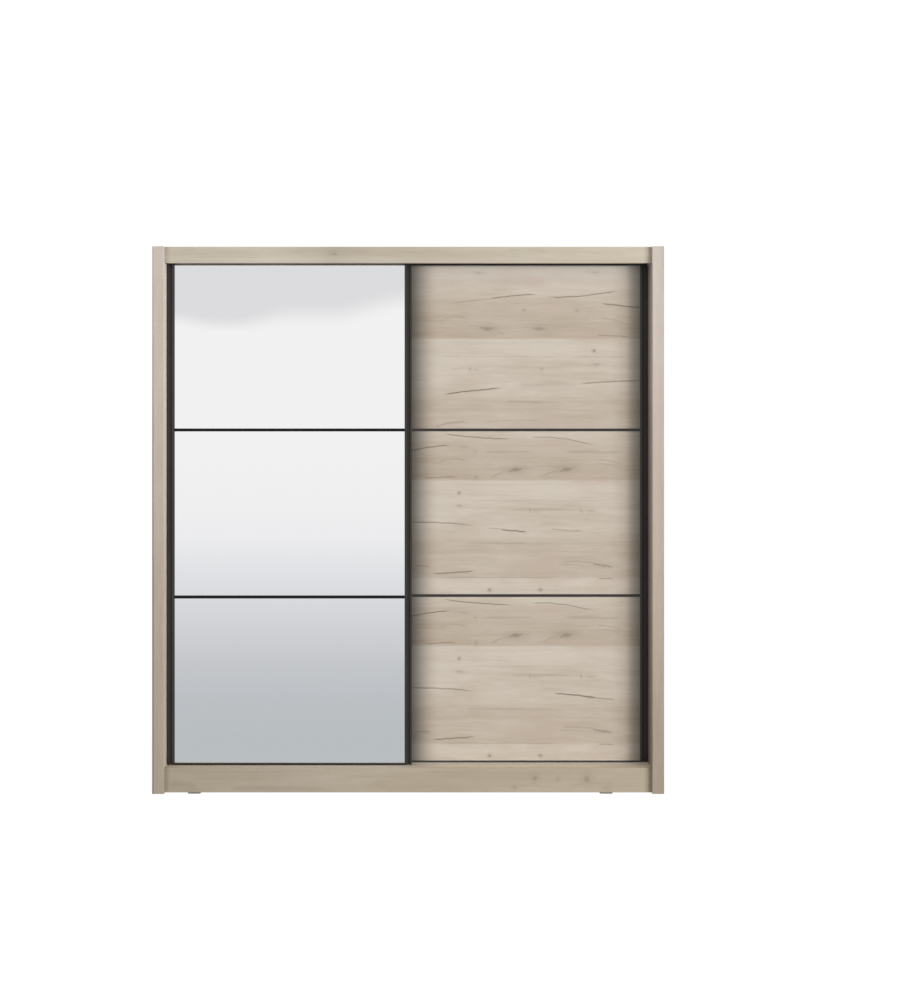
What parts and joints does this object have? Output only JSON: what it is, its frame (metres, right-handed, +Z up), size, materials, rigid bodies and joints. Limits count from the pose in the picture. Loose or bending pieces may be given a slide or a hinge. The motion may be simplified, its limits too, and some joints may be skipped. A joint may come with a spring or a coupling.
{
  "type": "sliding door wardrobe",
  "caption": "Free-standing wardrobe with a mirrored sliding door in front of a wood-decor sliding door, shelves and a hanging rail inside.",
  "frame": {"origin": "on the floor, at the middle of the width and depth", "axes": "+Z up; the doors face -Y; +X is to the right seen from the front"},
  "size_m": [2, 0.62, 2.14],
  "materials": {
    "carcass_board": "matt melamine, pale greyed oak decor",
    "interior_board": "matt melamine, pale greyed oak decor",
    "hardboard": "lacquered hardboard, off-white",
    "door_decor": "matt melamine, cracked pale oak decor with level grain",
    "mirror_glass": "silvered float glass",
    "frame_metal": "satin anthracite powder coat",
    "track_metal": "satin champagne anodised",
    "rail_chrome": "polished",
    "steel": "zinc plated",
    "black_plastic": "moulded",
    "white_plastic": "extruded strip",
    "wheel_plastic": "moulded acetal",
    "foot_plastic": "moulded"
  },
  "bodies": {
    "carcass": {"side_panel_left": "carcass_board", "side_panel_right": "carcass_board", "top_panel": "carcass_board", "bottom_panel": "carcass_board", "top_fascia": "carcass_board", "front_plinth": "carcass_board", "rear_plinth": "interior_board", "plinth_brace": "interior_board", "partition": "interior_board", "hat_shelf_left": "interior_board", "hat_shelf_right": "interior_board", "shelf_1": "interior_board", "shelf_2": "interior_board", "shelf_3": "interior_board", "back_panel_left": "hardboard", "back_panel_right": "hardboard", "upper_track": "frame_metal", "lower_track": "track_metal", "hanging_rail": "rail_chrome", "rail_socket_left": "rail_chrome", "rail_socket_right": "rail_chrome", "wall_bracket_left": "steel", "wall_bracket_right": "steel", "plinth_foot_left": "foot_plastic", "plinth_foot_right": "foot_plastic", "back_joint_strip": "white_plastic"},
    "mirror_door": {"mirror_door_stile_left": "frame_metal", "mirror_door_stile_right": "frame_metal", "mirror_door_top_rail": "frame_metal", "mirror_door_bottom_rail": "frame_metal", "mirror_door_divider_1": "frame_metal", "mirror_door_divider_2": "frame_metal", "mirror_panel_1": "mirror_glass", "mirror_panel_2": "mirror_glass", "mirror_panel_3": "mirror_glass", "mirror_door_carriage_left": "black_plastic", "mirror_door_carriage_right": "black_plastic", "mirror_door_guide_left": "black_plastic", "mirror_door_guide_right": "black_plastic", "mirror_door_axle_left": "steel", "mirror_door_axle_right": "steel"},
    "mirror_door_wheel_left": {"mirror_door_wheel_left": "wheel_plastic"},
    "mirror_door_wheel_right": {"mirror_door_wheel_right": "wheel_plastic"},
    "wood_door": {"wood_door_stile_left": "frame_metal", "wood_door_stile_right": "frame_metal", "wood_door_top_rail": "frame_metal", "wood_door_bottom_rail": "frame_metal", "wood_door_divider_1": "frame_metal", "wood_door_divider_2": "frame_metal", "wood_panel_1": "door_decor", "wood_panel_2": "door_decor", "wood_panel_3": "door_decor", "wood_door_carriage_left": "black_plastic", "wood_door_carriage_right": "black_plastic", "wood_door_guide_left": "black_plastic", "wood_door_guide_right": "black_plastic", "wood_door_axle_left": "steel", "wood_door_axle_right": "steel"},
    "wood_door_wheel_left": {"wood_door_wheel_left": "wheel_plastic"},
    "wood_door_wheel_right": {"wood_door_wheel_right": "wheel_plastic"}
  },
  "joints": [
    {"name": "mirror_door_slide", "type": "slide", "parent": "carcass", "child": "mirror_door", "axis": [1, 0, 0], "range_m": [0, 0.937]},
    {"name": "mirror_door_wheel_left_spin", "type": "hinge", "parent": "mirror_door", "child": "mirror_door_wheel_left", "pos_m": [-0.889, -0.247, 0.1093], "axis": [0, 1, 0], "continuous": true},
    {"name": "mirror_door_wheel_right_spin", "type": "hinge", "parent": "mirror_door", "child": "mirror_door_wheel_right", "pos_m": [-0.048, -0.247, 0.1093], "axis": [0, 1, 0], "continuous": true},
    {"name": "wood_door_slide", "type": "slide", "parent": "carcass", "child": "wood_door", "axis": [1, 0, 0], "range_m": [-0.937, 0]},
    {"name": "wood_door_wheel_left_spin", "type": "hinge", "parent": "wood_door", "child": "wood_door_wheel_left", "pos_m": [0.048, -0.209, 0.1093], "axis": [0, 1, 0], "continuous": true},
    {"name": "wood_door_wheel_right_spin", "type": "hinge", "parent": "wood_door", "child": "wood_door_wheel_right", "pos_m": [0.889, -0.209, 0.1093], "axis": [0, 1, 0], "continuous": true}
  ],
  "couplings": [
    {"joint": "mirror_door_wheel_left_spin", "follows": "mirror_door_slide", "rad_per_m": 62.5},
    {"joint": "mirror_door_wheel_right_spin", "follows": "mirror_door_slide", "rad_per_m": 62.5},
    {"joint": "wood_door_wheel_left_spin", "follows": "wood_door_slide", "rad_per_m": 62.5},
    {"joint": "wood_door_wheel_right_spin", "follows": "wood_door_slide", "rad_per_m": 62.5}
  ]
}
